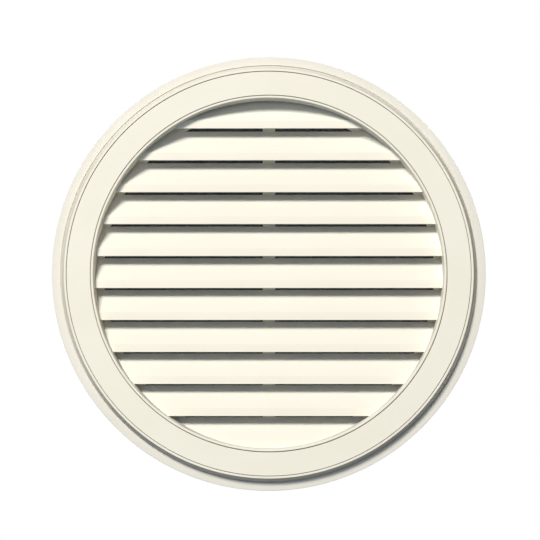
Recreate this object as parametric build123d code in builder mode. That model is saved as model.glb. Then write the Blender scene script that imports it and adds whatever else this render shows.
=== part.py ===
from build123d import *
import os
from math import atan2, ceil, cos, tan

# Round gable vent: a louvred body moulding with a clip-on trim ring and an insect screen.
# Millimetres. The vent's axis is Y: Y = 0 is the wall plane on which the mounting flange lies,
# the face looks along -Y, and +Z is up. Radii are measured from the vent's axis.

os.makedirs("parts", exist_ok=True)

# Mounting flange of the louvre body
flange_diameter = 698.5
flange_thickness = 2.5
flange_edge_chamfer = 0.6
fixing_hole_count = 8
fixing_hole_diameter = 5.0

# Round wall that goes through the hole in the wall of the house
bore_diameter = 560.8
wall_thickness = 2.5

# Louvre field: each blade is a sloped plate that ends in an upright lip at the front
first_lip_height = 234.2
blade_pitch = 51.5
lip_height = 12.9
blade_thickness = 2.2
blade_gap = 1.3
blade_bend_radius = 1.2
louvre_depth = 36.5

# Ledge and centre strip behind the blades
ledge_width = 12.1
ledge_thickness = 2.5
strip_width = 20.0

# Insect screen in its rebate, held by flat stakes whose ends are formed over
screen_thickness = 0.8
screen_edge_clearance = 0.6
rebate_depth = 2.0
stake_width = 7.0
stake_thickness = 2.4
stake_clearance = 0.2
stake_head_overhang = 1.2
stake_head_height = 0.9
ledge_stake_count = 12
strip_stake_count = 4
strip_stake_pitch = 130.0

# Trim ring: its foot leaves a band of the flange in view all round
flange_band = 14.15
outer_wall_lean = 6.2
ring_height = 18.0
ring_wall = 2.2
inner_wall_lean = 1.6
bead_width = 3.5
bead_rise = 0.9
bead_chamfer = 1.0
groove_width = 1.2
groove_depth = 0.7

# Clip fit: posts on the flange, each with a nib, and lugs in the ring that hook behind the nibs
clip_count = 8
post_width = 18.0
post_height = 9.0
post_thickness = 2.0
nib_height = 1.8
nib_reach = 0.9
lug_width = 14.0
lug_height = 3.4
lug_overlap = 0.7
lug_chamfer = 0.6
clip_clearance = 0.2

flange_radius = flange_diameter / 2
bore_radius = bore_diameter / 2
wall_radius = bore_radius + wall_thickness
flange_front = -flange_thickness
lip_front = flange_front
blade_back = lip_front + louvre_depth
ledge_back = blade_back + ledge_thickness
wall_back = ledge_back + rebate_depth
ledge_radius = bore_radius - ledge_width

ring_face = flange_front - ring_height
ring_back = ring_face + ring_wall
ring_foot_radius = flange_radius - flange_band
ring_front_radius = ring_foot_radius - outer_wall_lean
bead_front = ring_face - bead_rise
ring_inner_radius = bore_radius + inner_wall_lean


def leaning_wall_radius(foot_radius, rim_radius, y):
    """Radius at depth y of a ring wall that leans evenly from its foot to its rim."""
    return foot_radius + (rim_radius - foot_radius) * (flange_front - y) / (
        flange_front - bead_front - bead_chamfer
    )


def outer_wall_radius(y):
    """Radius of the ring's sloped outer face at depth y."""
    return leaning_wall_radius(ring_foot_radius, ring_front_radius, y)


def bead_outline(rim_radius, inward):
    """Bead on the ring's rim and the groove beside it, from the wall's top edge to the flat face."""
    return [
        (rim_radius, bead_front + bead_chamfer),
        (rim_radius + inward * bead_chamfer, bead_front),
        (rim_radius + inward * (bead_width - bead_chamfer), bead_front),
        (rim_radius + inward * bead_width, ring_face),
        (rim_radius + inward * (bead_width + groove_width / 2), ring_face + groove_depth),
        (rim_radius + inward * (bead_width + groove_width), ring_face),
    ]


# Each post stands inside the ring's outer wall, and the lug lies behind the post's nib.
nib_back_y = flange_front - post_height + nib_height
lug_front_y = nib_back_y + clip_clearance
lug_back_y = lug_front_y + lug_height
post_radius = outer_wall_radius(flange_front - post_height) - ring_wall - nib_reach - 2 * clip_clearance
lug_radius = post_radius + nib_reach - lug_overlap
fixing_radius = (wall_radius + post_radius) / 2

# Blade section in the Y-Z plane, with its lip's lower front edge at the origin
blade_rise = blade_pitch - lip_height - blade_gap
blade_angle = atan2(blade_rise, louvre_depth)
slope_thickness = blade_thickness / cos(blade_angle)
blade_count = ceil((first_lip_height + bore_radius) / blade_pitch)

with BuildSketch() as blade_section:
    with BuildLine():
        Polyline(
            (0, 0),
            (0, lip_height),
            (louvre_depth, lip_height + blade_rise),
            (louvre_depth, lip_height + blade_rise - slope_thickness),
            (blade_thickness, lip_height + blade_thickness * tan(blade_angle) - slope_thickness),
            (blade_thickness, 0),
            close=True,
        )
    make_face()
    bend = blade_section.vertices().group_by(Axis.X)[0].sort_by(Axis.Y)[-1]
    fillet(bend, blade_bend_radius)

with BuildPart() as louvre_field:
    with BuildSketch(Plane.YZ):
        with Locations(*[(lip_front, first_lip_height - i * blade_pitch) for i in range(blade_count)]):
            add(blade_section.sketch)
    extrude(amount=wall_radius, both=True)
    # The blade ends follow the round wall and run halfway into it.
    with BuildSketch(Plane.XZ.offset(-lip_front)):
        Circle(bore_radius + wall_thickness / 2)
    extrude(amount=-louvre_depth, mode=Mode.INTERSECT)

with BuildPart() as louvre_body:
    with BuildSketch(Plane.XY) as body_section:
        with BuildLine():
            Polyline(
                (bore_radius, flange_front),
                (flange_radius, flange_front),
                (flange_radius, 0),
                (wall_radius, 0),
                (wall_radius, wall_back),
                (bore_radius, wall_back),
                close=True,
            )
        make_face()
        flange_edge = body_section.vertices().group_by(Axis.X)[-1].sort_by(Axis.Y)[0]
        chamfer(flange_edge, flange_edge_chamfer)
    revolve(axis=Axis.Y)
    add(louvre_field.part)

    # Ledge ring and centre strip, in one plane behind the blades
    with BuildSketch(Plane.XZ.offset(-blade_back)):
        Circle(bore_radius + wall_thickness / 2)
        Circle(ledge_radius, mode=Mode.SUBTRACT)
        Rectangle(strip_width, 2 * ledge_radius + ledge_width)
    extrude(amount=-ledge_thickness)

    # Stakes through the screen, and their formed heads behind it
    for overhang, start, height in (
        (0, ledge_back, screen_thickness),
        (stake_head_overhang, ledge_back + screen_thickness, stake_head_height),
    ):
        with BuildSketch(Plane.XZ.offset(-start)):
            with PolarLocations(bore_radius - ledge_width / 2, ledge_stake_count, start_angle=180 / ledge_stake_count):
                Rectangle(stake_thickness + 2 * overhang, stake_width + 2 * overhang)
            with GridLocations(1, strip_stake_pitch, 1, strip_stake_count):
                Rectangle(stake_width + 2 * overhang, stake_thickness + 2 * overhang)
        extrude(amount=-height)

    # Fixing holes round the flange, between the ring's two walls
    with BuildSketch(Plane.XZ.offset(flange_thickness)):
        with PolarLocations(fixing_radius, fixing_hole_count, start_angle=180 / fixing_hole_count):
            Circle(fixing_hole_diameter / 2)
    extrude(amount=-flange_thickness, mode=Mode.SUBTRACT)

    # Clip posts on the flange's front, each a flat upright with a nib on its outer side
    with BuildSketch(Plane.XZ.offset(flange_thickness)):
        with PolarLocations(post_radius - post_thickness / 2, clip_count):
            Rectangle(post_thickness, post_width)
    extrude(amount=post_height)
    with BuildSketch(Plane.XZ.offset(-nib_back_y)):
        with PolarLocations(post_radius + nib_reach / 2, clip_count):
            Rectangle(nib_reach, post_width)
    extrude(amount=nib_height)

# Clip lugs: a band along the inside of the outer wall, cut into separate lugs
with BuildPart() as clip_lugs:
    with BuildSketch(Plane.XY) as lug_section:
        with BuildLine():
            Polyline(
                (lug_radius, lug_front_y),
                (outer_wall_radius(lug_front_y) - ring_wall / 2, lug_front_y),
                (outer_wall_radius(lug_back_y) - ring_wall / 2, lug_back_y),
                (lug_radius, lug_back_y),
                close=True,
            )
        make_face()
        lug_nose = lug_section.vertices().group_by(Axis.Y)[-1].sort_by(Axis.X)[0]
        chamfer(lug_nose, lug_chamfer)
    revolve(axis=Axis.Y)
    with BuildSketch(Plane.XZ.offset(-lug_back_y)):
        with PolarLocations(ring_foot_radius, clip_count):
            Rectangle(2 * (ring_foot_radius - lug_radius), lug_width)
    extrude(amount=lug_height, mode=Mode.INTERSECT)

with BuildPart() as trim_ring:
    with BuildSketch(Plane.XY):
        with BuildLine():
            Polyline(
                (bore_radius, flange_front),
                *bead_outline(ring_inner_radius, 1),
                *reversed(bead_outline(ring_front_radius, -1)),
                (ring_foot_radius, flange_front),
                (ring_foot_radius - ring_wall, flange_front),
                (outer_wall_radius(ring_back) - ring_wall, ring_back),
                (leaning_wall_radius(bore_radius, ring_inner_radius, ring_back) + ring_wall, ring_back),
                (bore_radius + ring_wall, flange_front),
                close=True,
            )
        make_face()
    revolve(axis=Axis.Y)
    add(clip_lugs.part)

with BuildPart() as insect_screen:
    with BuildSketch(Plane.XZ.offset(-ledge_back)):
        Circle(bore_radius - screen_edge_clearance)
        slot_width = stake_width + 2 * stake_clearance
        slot_thickness = stake_thickness + 2 * stake_clearance
        with PolarLocations(bore_radius - ledge_width / 2, ledge_stake_count, start_angle=180 / ledge_stake_count):
            Rectangle(slot_thickness, slot_width, mode=Mode.SUBTRACT)
        with GridLocations(1, strip_stake_pitch, 1, strip_stake_count):
            Rectangle(slot_width, slot_thickness, mode=Mode.SUBTRACT)
    extrude(amount=-screen_thickness)

for name, piece in (
    ("louvre_body", louvre_body),
    ("trim_ring", trim_ring),
    ("insect_screen", insect_screen),
):
    piece.part.label = name
    export_step(piece.part, f"parts/{name}.step")
    print(name, "solids", len(piece.part.solids()), "volume cm3", round(piece.part.volume / 1000, 1))
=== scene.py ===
# %% [markdown]
# # A round gable vent
# The vent closes the round opening under the ridge of a roof and lets the attic breathe. It is made of three
# pieces: a louvred body moulding, a trim ring that clips over its flange, and an insect screen on the back.
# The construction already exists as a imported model. This script loads it as a fixed frame, builds the fine
# visible shapes round it and gives every surface its finish. Everything is in metres, in the model's place.

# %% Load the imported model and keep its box
import math

import bmesh
import bpy
from mathutils import Matrix, Vector


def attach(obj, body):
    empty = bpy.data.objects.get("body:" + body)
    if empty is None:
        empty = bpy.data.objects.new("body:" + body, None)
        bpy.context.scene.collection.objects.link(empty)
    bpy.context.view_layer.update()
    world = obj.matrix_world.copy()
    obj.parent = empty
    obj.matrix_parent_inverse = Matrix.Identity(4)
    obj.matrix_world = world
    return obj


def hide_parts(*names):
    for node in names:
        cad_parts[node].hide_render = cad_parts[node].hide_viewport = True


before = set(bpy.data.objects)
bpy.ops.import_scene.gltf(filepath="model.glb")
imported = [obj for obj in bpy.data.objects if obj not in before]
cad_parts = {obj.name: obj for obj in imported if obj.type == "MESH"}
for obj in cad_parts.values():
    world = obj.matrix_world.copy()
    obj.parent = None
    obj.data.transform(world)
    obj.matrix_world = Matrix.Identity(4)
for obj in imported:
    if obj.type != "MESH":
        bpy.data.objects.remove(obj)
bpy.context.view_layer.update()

# %% [markdown]
# ## The camera
# The vent is seen from in front and a little below, so the thin dark opening under each lip grows towards the
# top. A short distance with a short lens would make it grow too fast and bend the circle. With blades of this
# depth the growth gives a distance of about four and a half metres, and so a long lens is used.

# %% Place the camera and aim it
camera_place = Vector((0.030, -4.500, -0.105))
camera_aim = Vector((0.0020, -0.0025, 0.0058))
lens_length = 186.2

camera_data = bpy.data.cameras.new("camera")
camera_data.lens = lens_length
camera_data.sensor_width = 36
camera = bpy.data.objects.new("camera", camera_data)
camera.location = camera_place
camera.rotation_euler = (camera_aim - camera_place).to_track_quat("-Z", "Y").to_euler()
bpy.context.scene.collection.objects.link(camera)
bpy.context.scene.camera = camera
print("camera distance", round((camera_aim - camera_place).length, 3))

# %% [markdown]
# ## Writing shader maths as sums
# A shader graph is a chain of small nodes. Wiring each one by hand hides the idea behind it. The class below
# wraps the output of a node, so that an ordinary expression such as `1 - mask * 0.3` adds the Math nodes that
# it needs. A second class owns one material's nodes and makes any other node in one call. Three kinds of node
# come up again and again, so they get a short name: an eased mask, a mix of two colours and a noise.

# %% A number that flows through a shader
class Flow:
    """One output of a shader node. Sums on it add Math nodes."""

    def __init__(self, shader, socket):
        self.shader, self.socket = shader, socket

    def math(self, operation, other=None, first=None):
        """A Math node on this flow and a second value. With first given, that value goes in front."""
        values = [first, self] if first is not None else [self, other]
        return self.shader.add("ShaderNodeMath", {"operation": operation}, {
            i: value for i, value in enumerate(values) if value is not None})

    def __add__(self, other): return self.math("ADD", other)
    def __radd__(self, other): return self.math("ADD", first=other)
    def __sub__(self, other): return self.math("SUBTRACT", other)
    def __rsub__(self, other): return self.math("SUBTRACT", first=other)
    def __mul__(self, other): return self.math("MULTIPLY", other)
    def __rmul__(self, other): return self.math("MULTIPLY", first=other)


print("sums ready")

# %% A material or world and its nodes
class Shader:
    """The node tree of one material or world."""

    def __init__(self, owner):
        self.owner = owner
        owner.use_nodes = True
        self.tree = owner.node_tree
        self.tree.nodes.clear()

    def add(self, kind, settings=None, sockets=None, output=0):
        """Makes a node: its settings first, then the values or links of its sockets."""
        node = self.tree.nodes.new(kind)
        for name, value in (settings or {}).items():
            setattr(node, name, value)
        for name, value in (sockets or {}).items():
            if isinstance(value, Flow):
                self.tree.links.new(value.socket, node.inputs[name])
            else:
                node.inputs[name].default_value = value
        return Flow(self, node.outputs[output])

    def other(self, flow, output):
        """Another output of the node that a flow comes from."""
        return Flow(self, flow.socket.node.outputs[output])

    def limit(self, flow, low, high):
        """Where a flow lies between two values, eased from 0 to 1."""
        return self.add("ShaderNodeMapRange", {"interpolation_type": "SMOOTHSTEP"},
                        {"Value": flow, "From Min": low, "From Max": high})

    def mix(self, share, first, second, blend="MIX"):
        """Two colours mixed, or the first multiplied by the second, by a share from 0 to 1."""
        first, second = (value if isinstance(value, Flow) else (*value, 1) for value in (first, second))
        return self.add("ShaderNodeMix", {"data_type": "RGBA", "blend_type": blend},
                        {0: share, 6: first, 7: second}, output=2)

    def noise(self, place, scale, detail, roughness=0.5, seed=None):
        """Smooth noise over a place. A seed picks one pattern out of many."""
        sockets = {"Vector": place, "Scale": scale, "Detail": detail, "Roughness": roughness}
        if seed is None:
            return self.add("ShaderNodeTexNoise", {"noise_dimensions": "3D"}, sockets)
        return self.add("ShaderNodeTexNoise", {"noise_dimensions": "4D"}, {**sockets, "W": seed})

    def show(self, surface):
        """Sends the finished surface to the output of the world or the material."""
        is_world = isinstance(self.owner, bpy.types.World)
        output = self.tree.nodes.new("ShaderNodeOutputWorld" if is_world else "ShaderNodeOutputMaterial")
        self.tree.links.new(surface.socket, output.inputs["Surface"])
        print(self.owner.name, "has", len(self.tree.nodes), "nodes")


print("shader helpers ready")

# %% [markdown]
# ## Light and surroundings
# The light is plain. The key lamp stands above and in front of the vent, near enough that the top of the face
# is a little brighter than the bottom, and it throws the short shadows that show the ring's height and the
# depth of the blades. A weak cool lamp near the camera lifts the shade under the lips, and a third lamp stands
# behind for the back. A white world would flood the object with light, so it is white only for the camera and
# for reflections, and gives very little. The floor does the same: it is dim for the light that it throws back.

# %% White surroundings with a dim fill
def srgb(red, green, blue):
    """A colour as a paint chart gives it, 0 to 255, turned into the linear values of a shader."""
    return tuple((c / 255 / 12.92) if c <= 10.31475 else ((c / 255 + 0.055) / 1.055) ** 2.4
                 for c in (red, green, blue))


fill_strength = 0.02

world = bpy.data.worlds.new("surroundings")
bpy.context.scene.world = world
sky = Shader(world)
ray = sky.add("ShaderNodeLightPath")
seen = sky.add("ShaderNodeClamp", {}, {"Value": (
    ray + sky.other(ray, "Is Glossy Ray") + sky.other(ray, "Is Transmission Ray"))})
fill = sky.add("ShaderNodeBackground", {}, {"Color": (1, 1, 1, 1), "Strength": fill_strength})
white = sky.add("ShaderNodeBackground", {}, {"Color": (1, 1, 1, 1), "Strength": 1.0})
sky.show(sky.add("ShaderNodeMixShader", {}, {0: seen, 1: fill, 2: white}))

# %% A near key lamp, a cool front lamp and one behind
def add_lamp(name, place, power, width, colour):
    """Hangs a round soft lamp that looks at the vent."""
    data = bpy.data.lights.new(name, "AREA")
    data.shape = "DISK"
    data.size, data.energy, data.color = width, power, colour
    lamp = bpy.data.objects.new(name, data)
    lamp.location = place
    lamp.rotation_euler = (-Vector(place)).to_track_quat("-Z", "Y").to_euler()
    bpy.context.scene.collection.objects.link(lamp)
    print(name, power, "W at", place)


add_lamp("key_lamp", (-2.05, -7.45, 4.12), 735, 2.2, (1.03, 1.0, 0.94))
add_lamp("front_lamp", (-0.8, -5.0, 0.6), 24, 2.4, (0.66, 1.0, 1.50))
add_lamp("back_lamp", (1.6, 4.2, 1.8), 230, 2.4, (1.0, 0.99, 0.97))

# %% A pale floor that fades out
floor_height, floor_reach = -1.0, 3.0
fade_start, fade_end = 0.9, 2.7
dim_grey, pale_grey = (0.30, 0.30, 0.30, 1), (0.86, 0.86, 0.86, 1)

floor_mesh = bpy.data.meshes.new("floor")
floor_shape = bmesh.new()
bmesh.ops.create_circle(floor_shape, cap_ends=True, segments=96, radius=floor_reach)
floor_shape.to_mesh(floor_mesh)
floor_shape.free()
floor = bpy.data.objects.new("floor", floor_mesh)
floor.location.z = floor_height
bpy.context.scene.collection.objects.link(floor)

floor_material = bpy.data.materials.new("pale_floor")
paint = Shader(floor_material)
floor_place = paint.add("ShaderNodeTexCoord", output=3)
from_middle = paint.add("ShaderNodeVectorMath", {"operation": "LENGTH"}, {0: floor_place}, output=1)
seen_directly = paint.add("ShaderNodeLightPath")
dim = paint.add("ShaderNodeBsdfDiffuse", {}, {"Color": dim_grey})
pale = paint.add("ShaderNodeBsdfDiffuse", {}, {"Color": pale_grey})
glow = paint.add("ShaderNodeEmission", {}, {"Color": (1, 1, 1, 1), "Strength": 1.0})
shown = paint.add("ShaderNodeMixShader", {}, {
    0: paint.limit(from_middle, fade_start, fade_end), 1: pale, 2: glow})
paint.show(paint.add("ShaderNodeMixShader", {}, {0: seen_directly, 1: dim, 2: shown}))
floor_mesh.materials.append(floor_material)

bpy.context.scene.view_settings.view_transform = "Standard"

# %% [markdown]
# ## The measures of the mouldings
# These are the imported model's own sizes, in millimetres, with the vent's axis along Y and its face towards -Y.
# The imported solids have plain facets. The pieces made here follow the same sections with round edges and many
# more steps round the circle, because light on a moulded edge is what tells the eye that it is plastic.

# %% Sizes in millimetres
mm = 0.001
flange_radius, flange_front = 349.25, -2.5
bore_radius, wall_thickness = 280.4, 2.5
wall_radius = bore_radius + wall_thickness
lip_front, blade_back, ledge_back, wall_back = -2.5, 34.0, 36.5, 38.5
ledge_radius, strip_width = 268.3, 20.0
screen_depth = 0.8
ring_foot_radius, ring_front_radius, ring_inner_radius = 335.1, 328.9, 282.0
ring_face, ring_wall = -20.5, 2.2
bead_width, bead_rise = 3.5, 0.9
clip_count = 8
turn_steps = 288
print("flange", 2 * flange_radius, "mm across, opening", 2 * bore_radius, "mm")

# %% [markdown]
# ## Rounded outlines and turned shapes
# A moulding tool never cuts a perfectly sharp corner. Each outline is given as corner points with a radius,
# and a helper turns every corner into a short arc. A second helper turns the outline round the vent's axis. A
# spin modifier could do the same, but the direct loop keeps full control of where the vertices lie.

# %% Turn corners into arcs
def round_corners(corners, steps=4):
    """Outline whose corners (u, v, radius) are turned into arcs. A radius of 0 keeps the corner."""
    outline = []
    for before, here, after in zip(corners[-1:] + corners[:-1], corners, corners[1:] + corners[:1]):
        corner, radius = Vector(here[:2]), here[2]
        if radius == 0:
            outline.append(corner)
            continue
        towards = [(Vector(p[:2]) - corner).normalized() for p in (before, after)]
        half_angle = towards[0].angle(towards[1]) / 2
        reach = radius / math.tan(half_angle)
        centre = corner + (towards[0] + towards[1]).normalized() * radius / math.sin(half_angle)
        first = corner + towards[0] * reach - centre
        last = corner + towards[1] * reach - centre
        turn = math.atan2(first.x * last.y - first.y * last.x, first.dot(last))
        for i in range(steps + 1):
            outline.append(centre + Matrix.Rotation(turn * i / steps, 2) @ first)
    return outline


print("a rounded square has", len(round_corners([(0, 0, 1), (9, 0, 1), (9, 9, 1), (0, 9, 1)])), "points")

# %% Turn an outline round the axis
def add_turned(shape, outline):
    """Adds to a bmesh the ring that a closed outline of (radius, depth) makes round the Y axis."""
    rings = []
    for i in range(turn_steps):
        angle = 2 * math.pi * i / turn_steps
        rings.append([shape.verts.new((p.x * math.cos(angle) * mm, p.y * mm, p.x * math.sin(angle) * mm))
                      for p in outline])
    for ring, after in zip(rings, rings[1:] + rings[:1]):
        for j in range(len(outline)):
            k = (j + 1) % len(outline)
            shape.faces.new((ring[j], ring[k], after[k], after[j]))
    print("turned an outline of", len(outline), "points")


# %% Finish a mesh as a piece
def finish_mesh(name, shape, smooth=True):
    """Turns a bmesh into a piece with outward faces, smooth round edges and flat flats."""
    bmesh.ops.recalc_face_normals(shape, faces=shape.faces)
    mesh = bpy.data.meshes.new(name)
    shape.to_mesh(mesh)
    shape.free()
    mesh.polygons.foreach_set("use_smooth", [smooth] * len(mesh.polygons))
    piece = bpy.data.objects.new(name, mesh)
    bpy.context.scene.collection.objects.link(piece)
    if smooth:
        flats = piece.modifiers.new("flat_faces_stay_flat", "WEIGHTED_NORMAL")
        flats.keep_sharp = True
    print(name, "faces", len(mesh.polygons))
    return piece


# %% Small blocks with softened edges
def add_block(shape, size, centre, turn=0.0, bevel=0.3):
    """Adds a block of (width, depth, height) in millimetres, turned about the Y axis with its place."""
    corners = bmesh.ops.create_cube(shape, size=1.0)["verts"]
    bmesh.ops.scale(shape, vec=Vector(size) * mm, verts=corners)
    edges = list({edge for corner in corners for edge in corner.link_edges})
    block = list(set(bmesh.ops.bevel(shape, geom=edges, offset=bevel * mm, segments=2, profile=0.5,
                                     affect="EDGES")["verts"]))
    bmesh.ops.translate(shape, vec=Vector(centre) * mm, verts=block)
    bmesh.ops.rotate(shape, cent=(0, 0, 0), matrix=Matrix.Rotation(turn, 3, "Y"), verts=block)


print("shape helpers ready")

# %% [markdown]
# ## The trim ring
# The ring is a thin hollow channel: a short inner wall, a flat face with a raised bead and a fine groove at
# either rim, and an outer wall that leans in towards the front so that the moulding leaves its tool. Its foot
# stands on the flange. Lugs on the inside of the outer wall hook behind the posts of the flange. The section
# is one closed outline, turned once round the axis, as the real ring is one moulding.

# %% Corners of one bead and its groove
bead_front = ring_face - bead_rise


def bead_corners(rim, inward, groove_width, groove_depth):
    """Bead and groove of one rim, from the wall's top edge to the flat face."""
    groove_start = rim + inward * bead_width
    groove_end = groove_start + inward * groove_width
    return [
        (rim, bead_front, 1.3),
        (groove_start, bead_front, 0.5),
        (groove_start, ring_face + groove_depth, 0.2),
        (groove_end, ring_face + groove_depth, 0.2),
        (groove_end, ring_face, 0.5),
    ]


print("beads stand", bead_rise, "mm proud of the face")

# %% Turn the ring's section
hollow_inner_radius = ring_inner_radius + ring_wall - 0.2
hollow_outer_radius = ring_front_radius - ring_wall + 0.7
hollow_front = ring_face + ring_wall

ring_shape = bmesh.new()
add_turned(ring_shape, round_corners([
    (bore_radius, flange_front, 0.35),
    *bead_corners(ring_inner_radius, 1, 1.4, 1.9),
    *reversed(bead_corners(ring_front_radius, -1, 1.0, 1.9)),
    (ring_foot_radius, flange_front, 0.45),
    (ring_foot_radius - ring_wall, flange_front, 0.3),
    (hollow_outer_radius, hollow_front, 0.6),
    (hollow_inner_radius, hollow_front, 0.6),
    (bore_radius + ring_wall, flange_front, 0.3),
]))

# %% Add the clip lugs inside the ring
lug_radius, lug_front = 328.683, -9.5
lug_reach, lug_depth, lug_length = 2.9, 3.4, 14.0
for i in range(clip_count):
    add_block(ring_shape, (lug_reach, lug_depth, lug_length),
              (lug_radius + lug_reach / 2, lug_front + lug_depth / 2, 0),
              turn=2 * math.pi * i / clip_count, bevel=0.4)
trim_ring = finish_mesh("trim_ring_moulding", ring_shape)
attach(trim_ring, "root")
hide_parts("trim_ring")

# %% [markdown]
# ## The louvre body
# The body is one injection moulding. A flat flange lies on the wall, a short round wall goes into the opening,
# and eleven sloped blades span it. Each blade ends in an upright lip, level with the flange, that sheds the
# rain. A blade could be a long bar that a round boolean trims, but such a cut leaves slivers. Here every point
# of the section reaches as far to each side as the circle does at its height, halfway into the round wall, and
# nothing is cut. Only the small fixing holes are drilled with a boolean. A fine channel in the flange runs just
# outside the ring's foot. It gives the thin dark seam that goes all the way round.

# %% Flange and round wall
seam_start, seam_end, seam_depth = ring_foot_radius - 0.2, ring_foot_radius + 1.0, 2.0
body_shape = bmesh.new()
add_turned(body_shape, round_corners([
    (bore_radius, flange_front, 0.3),
    (seam_start, flange_front, 0.1),
    (seam_start, flange_front + seam_depth, 0.2),
    (seam_end, flange_front + seam_depth, 0.2),
    (seam_end, flange_front, 0.2),
    (flange_radius, flange_front, 0.7),
    (flange_radius, 0, 0.25),
    (wall_radius, 0, 0),
    (wall_radius, wall_back, 0.4),
    (bore_radius, wall_back, 0.4),
], 3))

# %% Section of one blade
first_lip, blade_pitch, blade_count = 234.2, 51.5, 11
lip_height, blade_thickness, blade_gap, louvre_depth = 12.9, 2.2, 1.3, 36.5
blade_rise = blade_pitch - lip_height - blade_gap
blade_angle = math.atan2(blade_rise, louvre_depth)
slope_thickness = blade_thickness / math.cos(blade_angle)
blade_corners = [
    (0, 0, 0.5),
    (0, lip_height, 1.2),
    (louvre_depth, lip_height + blade_rise, 0.8),
    (louvre_depth, lip_height + blade_rise - slope_thickness, 0.4),
    (blade_thickness, lip_height + blade_thickness * math.tan(blade_angle) - slope_thickness, 1.0),
    (blade_thickness, 0, 0.5),
]
print("the blades slope at", round(math.degrees(blade_angle), 1), "degrees")

# %% Fit a section to the circle
def fine_outline(outline, step=6.0):
    """The same outline with no side longer than step."""
    fine = []
    for here, after in zip(outline, outline[1:] + outline[:1]):
        parts = max(1, math.ceil((after - here).length / step))
        fine += [here.lerp(after, i / parts) for i in range(parts)]
    return fine


def cut_above(outline, height):
    """The part of a closed outline that lies below a height."""
    kept = []
    for here, after in zip(outline, outline[1:] + outline[:1]):
        if here.y <= height:
            kept.append(here)
        if (here.y - height) * (after.y - height) < 0:
            kept.append(here.lerp(after, (height - here.y) / (after.y - here.y)))
    return kept


print("a blade's section has", len(fine_outline(round_corners(blade_corners))), "points")

# %% Blades that follow the circle
def add_bar(shape, ends):
    """Joins two matching end outlines by their sides and closes both. Returns the two end faces."""
    for j in range(len(ends[0])):
        k = (j + 1) % len(ends[0])
        shape.faces.new((ends[0][j], ends[0][k], ends[1][k], ends[1][j]))
    return [shape.faces.new(end) for end in ends]


end_radius = bore_radius + wall_thickness / 2
top_clearance = 0.05
for i in range(blade_count):
    base = Vector((lip_front, first_lip - i * blade_pitch))
    outline = [p + base for p in round_corners(blade_corners)]
    outline = fine_outline(cut_above(outline, end_radius - top_clearance))
    ends = []
    for side in (-1, 1):
        ends.append([body_shape.verts.new((side * math.sqrt(max(end_radius ** 2 - p.y ** 2, 0)) * mm,
                                           p.x * mm, p.y * mm)) for p in outline])
    # A sharp edge keeps the slanted end, hidden in the wall, from tilting the light on the narrow bend.
    for end_face in add_bar(body_shape, ends):
        for edge in end_face.edges:
            edge.smooth = False
print(blade_count, "blades")

# %% Ledge and centre strip behind the blades
ledge_thickness, ledge_overlap = 2.5, 0.1
add_turned(body_shape, round_corners([
    (ledge_radius, blade_back - ledge_overlap, 0.4),
    (end_radius, blade_back - ledge_overlap, 0),
    (end_radius, ledge_back, 0),
    (ledge_radius, ledge_back, 0.4),
], 3))
add_block(body_shape, (strip_width, ledge_thickness, 2 * ledge_radius + 12),
          (0, ledge_back - ledge_thickness / 2 - ledge_overlap / 2, 0), bevel=0.35)

# %% Stakes with their formed heads
stake_width, stake_thickness, stake_depth = 7.0, 2.4, 2.0
head_overhang, head_depth = 1.2, 0.9
head_place = ledge_back + screen_depth + head_depth / 2
stake_radius = (bore_radius + ledge_radius) / 2
ledge_stakes, strip_stakes, strip_stake_pitch = 12, 4, 130


def add_stake(width, height, radius, rise, turn=0.0):
    """Adds a flat stake and the wider head that its end is formed into."""
    add_block(body_shape, (width, stake_depth, height), (radius, ledge_back, rise), turn=turn, bevel=0.2)
    add_block(body_shape, (width + 2 * head_overhang, head_depth, height + 2 * head_overhang),
              (radius, head_place, rise), turn=turn, bevel=0.4)


for i in range(ledge_stakes):
    add_stake(stake_thickness, stake_width, stake_radius, 0, turn=2 * math.pi * (i + 0.5) / ledge_stakes)
for i in range(strip_stakes):
    add_stake(stake_width, stake_thickness, 0, (i - (strip_stakes - 1) / 2) * strip_stake_pitch)
print(ledge_stakes + strip_stakes, "stakes")

# %% Clip posts on the flange
post_radius, post_thickness, post_height, post_length = 328.483, 2.0, 9.0, 18.0
nib_reach, nib_height = 0.9, 1.8
post_root, nib_root = 0.2, 0.5
for i in range(clip_count):
    turn = 2 * math.pi * i / clip_count
    add_block(body_shape, (post_thickness, post_height + post_root, post_length),
              (post_radius - post_thickness / 2, flange_front - (post_height - post_root) / 2, 0), turn=turn)
    add_block(body_shape, (nib_reach + nib_root, nib_height, post_length),
              (post_radius + (nib_reach - nib_root) / 2, flange_front - post_height + nib_height / 2, 0),
              turn=turn)
body = finish_mesh("louvre_moulding", body_shape)

# %% Drill the fixing holes
hole_count, hole_radius, fixing_radius = 8, 2.5, 305.691
drill_length = 12
drill_shape = bmesh.new()
for i in range(hole_count):
    angle = 2 * math.pi * (i + 0.5) / hole_count
    hole_place = Vector((fixing_radius * math.cos(angle), 0, fixing_radius * math.sin(angle))) * mm
    bmesh.ops.create_cone(drill_shape, cap_ends=True, segments=32, radius1=hole_radius * mm,
                          radius2=hole_radius * mm, depth=drill_length * mm,
                          matrix=Matrix.Translation(hole_place) @ Matrix.Rotation(math.pi / 2, 4, "X"))
drill = finish_mesh("drill", drill_shape, smooth=False)
cut = body.modifiers.new("fixing_holes", "BOOLEAN")
cut.operation, cut.solver, cut.object = "DIFFERENCE", "FAST", drill
bpy.context.view_layer.update()
body.modifiers.move(1, 0)
cut_mesh = bpy.data.meshes.new_from_object(body.evaluated_get(bpy.context.evaluated_depsgraph_get()))
body.modifiers.remove(cut)
body.data = cut_mesh
bpy.data.objects.remove(drill)
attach(body, "root")
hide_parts("louvre_body")
print("louvre_moulding with holes, faces", len(body.data.polygons))

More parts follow.
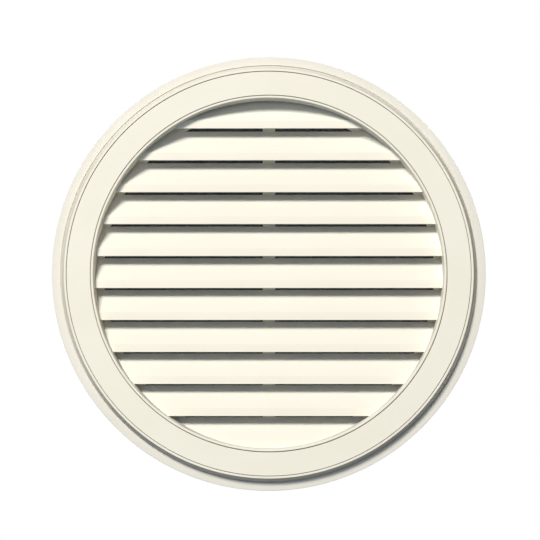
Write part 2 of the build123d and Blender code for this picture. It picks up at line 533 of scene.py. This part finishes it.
# %% [markdown]
# ## The insect screen
# The screen is a fine charcoal cloth that keeps insects out of the attic. Alpha on a flat disc would be
# lighter, but a real strand catches light along its length and stays crisp at any distance. So the strands are
# modelled: one layer runs up and down, the other across it, each strand a flattened round that ends at the
# rebate's circle.

# %% Lay the strands
screen_radius = 279.8
strand_pitch, strand_width, strand_sides = 1.4, 1.23, 6
strand_depth = screen_depth / 2
strand_count = int(2 * screen_radius / strand_pitch)

screen_shape = bmesh.new()
for layer in range(2):
    for i in range(strand_count):
        across = (i - (strand_count - 1) / 2) * strand_pitch
        ends = []
        for side in (-1, 1):
            end = []
            for j in range(strand_sides):
                angle = 2 * math.pi * (j + 0.5) / strand_sides
                u = across + strand_width / 2 * math.cos(angle) / math.cos(math.pi / strand_sides)
                v = ledge_back + strand_depth * (layer + 0.5 + 0.5 * math.sin(angle))
                reach = side * math.sqrt(max(screen_radius ** 2 - u ** 2, 1.0))
                point = (u, v, reach) if layer == 0 else (reach, v, u)
                end.append(screen_shape.verts.new(Vector(point) * mm))
            ends.append(end)
        add_bar(screen_shape, ends)
screen = finish_mesh("woven_screen", screen_shape)
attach(screen, "root")
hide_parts("insect_screen")

# %% [markdown]
# ## The ivory plastic
# The mouldings are solid-coloured vinyl. It isn't painted, so the colour is even, but no moulding is perfect:
# the colour drifts a little where the melt flowed, the surface is very slightly dimpled, and a fine grain
# breaks up the gloss. These three are noises of different sizes that feed the colour, the roughness and the
# bump. Light and shade are also painted into the colour: what faces up is painted a touch paler, a painted
# highlight for light from above, and what faces down is painted a touch greyer, a painted shade. Those two
# are read from the surface's normal. The flange's outer band is a touch duller, and the two grooves of the
# ring are painted darker, a painted shade in the creases. Those are read from the distance to the axis and
# from the depth.

# %% Dull band, painted highlight and painted shade, and where they lie
band_tone = (0.85, 0.86, 0.885)
# Painted highlight for surfaces that face up, painted shade for those that face down and for the grooves.
painted_highlight_tone, painted_highlight_share = srgb(255, 251, 238), 0.65
painted_underside_shade_tone = (0.58, 0.61, 0.66)
painted_groove_shade_tone, painted_groove_shade_share = (0.35, 0.34, 0.32), 0.9


def dull_band_and_painted_light(plastic, clean, place, radius, has_grooves):
    """Clean colour with the duller band, painted highlight on tops, painted shade under and in grooves."""
    on_band = plastic.limit(radius, (ring_foot_radius - 2) * mm, (ring_foot_radius + 0.5) * mm)
    facing = plastic.add("ShaderNodeNewGeometry", output="Normal")
    facing_up = plastic.add("ShaderNodeSeparateXYZ", {}, {0: facing}, output="Z")
    colour = plastic.mix(on_band, clean, band_tone, "MULTIPLY")
    # Painted highlight: surfaces that face up are painted paler, as if lit from above.
    colour = plastic.mix(plastic.limit(facing_up, 0.40, 0.65) * painted_highlight_share, colour, painted_highlight_tone)
    # Painted shade: surfaces that face down are painted greyer.
    colour = plastic.mix(plastic.limit(facing_up * -1, 0.35, 0.80), colour, painted_underside_shade_tone, "MULTIPLY")
    if has_grooves:
        depth = plastic.add("ShaderNodeSeparateXYZ", {}, {0: place}, output="Y")
        past_inner_bead = plastic.limit(radius, (ring_inner_radius + 2.8) * mm, (ring_inner_radius + 3.3) * mm)
        past_face = plastic.limit(radius, (ring_front_radius - 3.3) * mm, (ring_front_radius - 2.8) * mm)
        below_face = plastic.limit(depth, (ring_face + 0.25) * mm, (ring_face + 0.9) * mm)
        in_groove = below_face * past_inner_bead * (1 - past_face)
        # Painted shade: the bottoms of the ring's two grooves are painted darker.
        colour = plastic.mix(in_groove * painted_groove_shade_share, colour, painted_groove_shade_tone, "MULTIPLY")
    return colour


# Shares of the painted highlight on top and of the painted shade in the grooves.
print("painted_lighter by", painted_highlight_share, "on top, painted_shade in the grooves", painted_groove_shade_share)

# %% Make the plastic
def moulded_plastic(name, colour, shade, seed, has_grooves=False):
    """Matt vinyl with a slow drift of colour, a faint flow pattern and a fine grain."""
    material = bpy.data.materials.new(name)
    plastic = Shader(material)
    place = plastic.add("ShaderNodeTexCoord", output=3)
    flat_place = plastic.add("ShaderNodeVectorMath", {"operation": "MULTIPLY"}, {0: place, 1: (1, 0, 1)})
    radius = plastic.add("ShaderNodeVectorMath", {"operation": "LENGTH"}, {0: flat_place}, output=1)
    drift = plastic.noise(place, 9, 3, seed=seed)
    flow = plastic.noise(place, 60, 4, roughness=0.6, seed=seed + 4)
    grain = plastic.noise(place, 900, 2, seed=seed + 8)
    tint = plastic.mix(plastic.limit(drift, 0.3, 0.7), colour, shade)
    bump = plastic.add("ShaderNodeBump", {}, {
        "Strength": 0.12, "Distance": 0.0004, "Height": grain * 0.4 + flow * 0.6})
    plastic.show(plastic.add("ShaderNodeBsdfPrincipled", {}, {
        "Base Color": dull_band_and_painted_light(plastic, tint, place, radius, has_grooves),
        "Roughness": 0.50 + flow * 0.10 + grain * 0.04, "Normal": bump,
        "IOR": 1.46, "Specular IOR Level": 0.3}))
    return material


body_plastic = moulded_plastic("ivory_vinyl_body", srgb(248, 242, 227), srgb(245, 239, 223), 1.0)
ring_plastic = moulded_plastic("ivory_vinyl_ring", srgb(243, 238, 223), srgb(240, 235, 219), 31.0,
                               has_grooves=True)
for piece, material in ((body, body_plastic), (trim_ring, ring_plastic)):
    piece.data.materials.clear()
    piece.data.materials.append(material)

# %% [markdown]
# ## The charcoal screen cloth
# Coated glass yarn is nearly black and slightly glossy along each strand. The over and under of the weave is
# too fine for the mesh, so a bump that alternates at the strands' pitch adds it.

# %% Make the screen's yarn
yarn_dark, yarn_worn = (0.012, 0.012, 0.013), (0.030, 0.030, 0.032)
wave_rate = 2 * math.pi / (2 * strand_pitch * mm)

screen_cloth = bpy.data.materials.new("charcoal_yarn")
yarn = Shader(screen_cloth)
yarn_place = yarn.add("ShaderNodeTexCoord", output=3)
parts = yarn.add("ShaderNodeSeparateXYZ", {}, {0: yarn_place})
wave_x = (yarn.other(parts, "X") * wave_rate).math("SINE")
wave_z = (yarn.other(parts, "Z") * wave_rate).math("SINE")
wear = yarn.noise(yarn_place, 40, 4)
yarn_bump = yarn.add("ShaderNodeBump", {}, {"Strength": 0.4, "Distance": 0.0003, "Height": wave_x * wave_z})
yarn.show(yarn.add("ShaderNodeBsdfPrincipled", {}, {
    "Base Color": yarn.mix(wear, yarn_dark, yarn_worn), "Roughness": 0.55 + wear * 0.15,
    "Normal": yarn_bump}))
screen.data.materials.append(screen_cloth)
